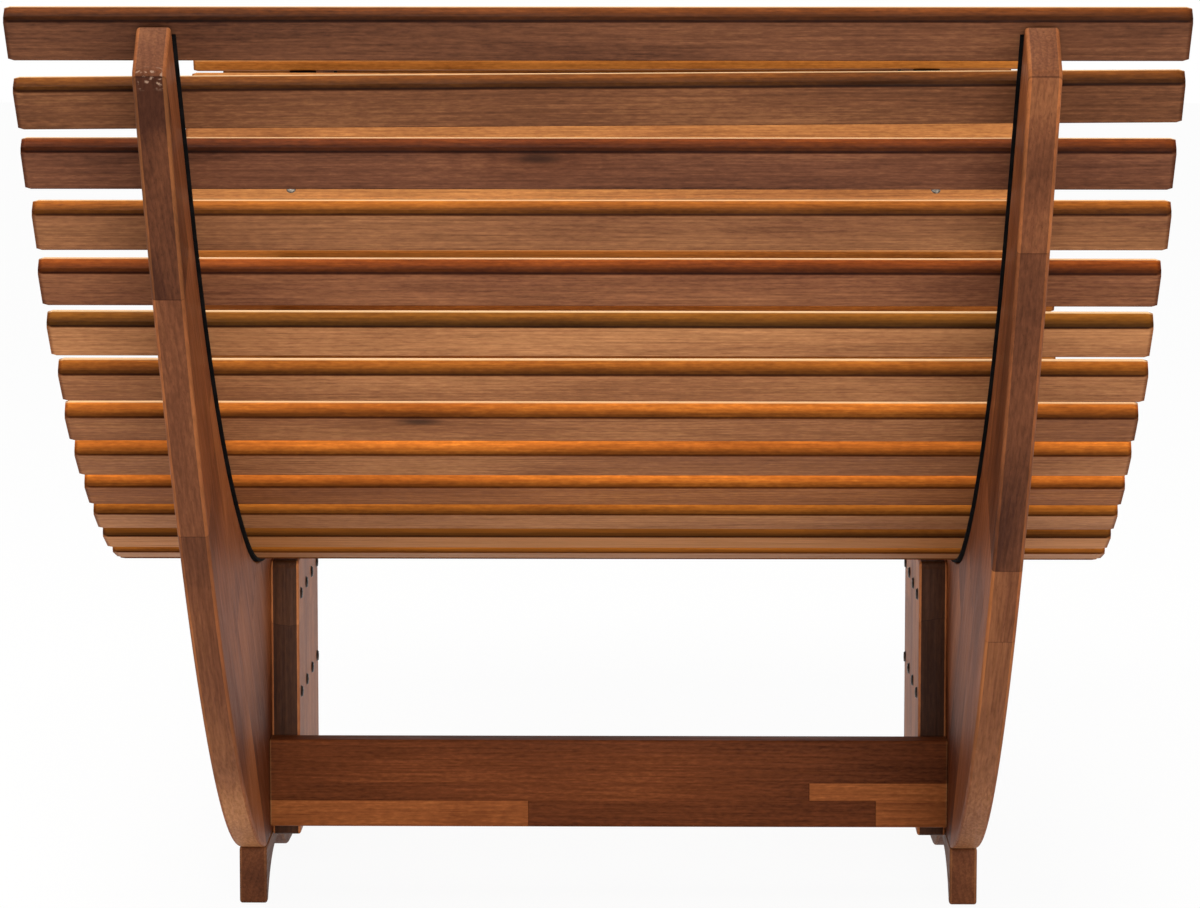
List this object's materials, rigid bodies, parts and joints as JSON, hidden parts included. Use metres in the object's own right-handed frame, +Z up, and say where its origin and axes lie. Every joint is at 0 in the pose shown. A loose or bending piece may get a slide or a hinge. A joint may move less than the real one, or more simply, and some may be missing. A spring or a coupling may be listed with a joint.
{
  "type": "rocking sun lounger",
  "caption": "Slatted wooden sun lounger with a wave-shaped seat on curved side boards, splice plates, crossbars and rocker runners with rear heels.",
  "frame": {"origin": "on the floor, midway between the head end and the foot end and between the two sides", "axes": "+Z up, +Y from the head end to the foot end, X across the lounger"},
  "size_m": [0.7, 1.6383, 0.6733],
  "materials": {
    "slat_wood": "oiled satin hardwood",
    "frame_wood": "oiled satin hardwood",
    "band": "matt black strip",
    "screw": "dark plated steel",
    "dowel": "plain wood"
  },
  "bodies": {
    "root": {"slat_01": "slat_wood", "slat_02": "slat_wood", "slat_03": "slat_wood", "slat_04": "slat_wood", "slat_05": "slat_wood", "slat_06": "slat_wood", "slat_07": "slat_wood", "slat_08": "slat_wood", "slat_09": "slat_wood", "slat_10": "slat_wood", "slat_11": "slat_wood", "slat_12": "slat_wood", "slat_13": "slat_wood", "slat_14": "slat_wood", "slat_15": "slat_wood", "slat_16": "slat_wood", "slat_17": "slat_wood", "slat_18": "slat_wood", "slat_19": "slat_wood", "slat_20": "slat_wood", "slat_21": "slat_wood", "slat_22": "slat_wood", "slat_23": "slat_wood", "slat_24": "slat_wood", "slat_25": "slat_wood", "slat_26": "slat_wood", "slat_27": "slat_wood", "slat_28": "slat_wood", "slat_29": "slat_wood", "slat_30": "slat_wood", "slat_31": "slat_wood", "slat_32": "slat_wood", "slat_33": "slat_wood", "slat_34": "slat_wood", "slat_35": "slat_wood", "rear_cheek_left": "frame_wood", "rear_cheek_right": "frame_wood", "front_cheek_left": "frame_wood", "front_cheek_right": "frame_wood", "runner_left": "frame_wood", "runner_right": "frame_wood", "front_leg_left": "frame_wood", "front_leg_right": "frame_wood", "splice_plate_left": "frame_wood", "splice_plate_right": "frame_wood", "rear_stretcher": "frame_wood", "front_stretcher": "frame_wood", "slat_band_left": "band", "slat_band_right": "band", "plate_screws_left": "screw", "plate_screws_right": "screw", "crossbar_screws": "screw", "side_dowels_left": "dowel", "side_dowels_right": "dowel"}
  },
  "joints": []
}
